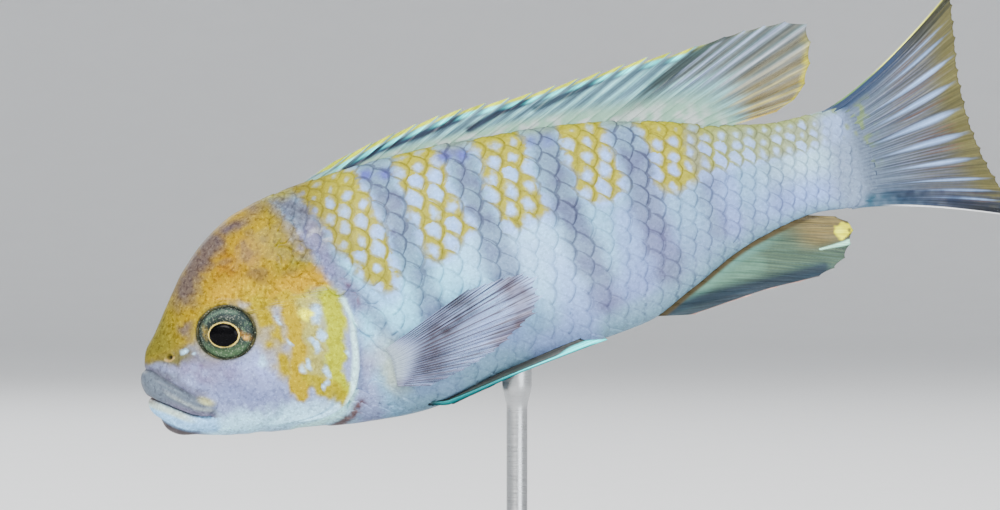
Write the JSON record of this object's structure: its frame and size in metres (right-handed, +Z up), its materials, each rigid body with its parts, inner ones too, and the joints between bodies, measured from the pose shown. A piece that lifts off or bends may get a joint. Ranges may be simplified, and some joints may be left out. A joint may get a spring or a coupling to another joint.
{
  "type": "afra cichlid",
  "caption": "Life-size display model of an afra cichlid swimming head down, with spread fins, on a plain stand.",
  "frame": {"origin": "centre of the flat underside of the stand's base, straight under the rod", "axes": "+Z up, -X towards the fish's snout, +Y towards the fish's right side"},
  "size_m": [0.1025, 0.04, 0.0745],
  "materials": {
    "skin": "moist scaled skin, pale lavender with yellow and dark bars",
    "eye": "wet, clear-coated eye with a black pupil",
    "fin": "thin rayed membrane, slightly see-through",
    "stand_base": "ebonised wood, satin",
    "stand_rod": "fine brushed"
  },
  "bodies": {
    "root": {"head": "skin", "torso": "skin", "tail": "skin", "gill_cover_left": "skin", "gill_cover_right": "skin", "eye_left": "eye", "eye_right": "eye", "dorsal_fin": "fin", "anal_fin": "fin", "caudal_fin": "fin", "pectoral_fin_left": "fin", "pectoral_fin_right": "fin", "pelvic_fin_left": "fin", "pelvic_fin_right": "fin", "stand_base": "stand_base", "stand_rod": "stand_rod"}
  },
  "joints": []
}
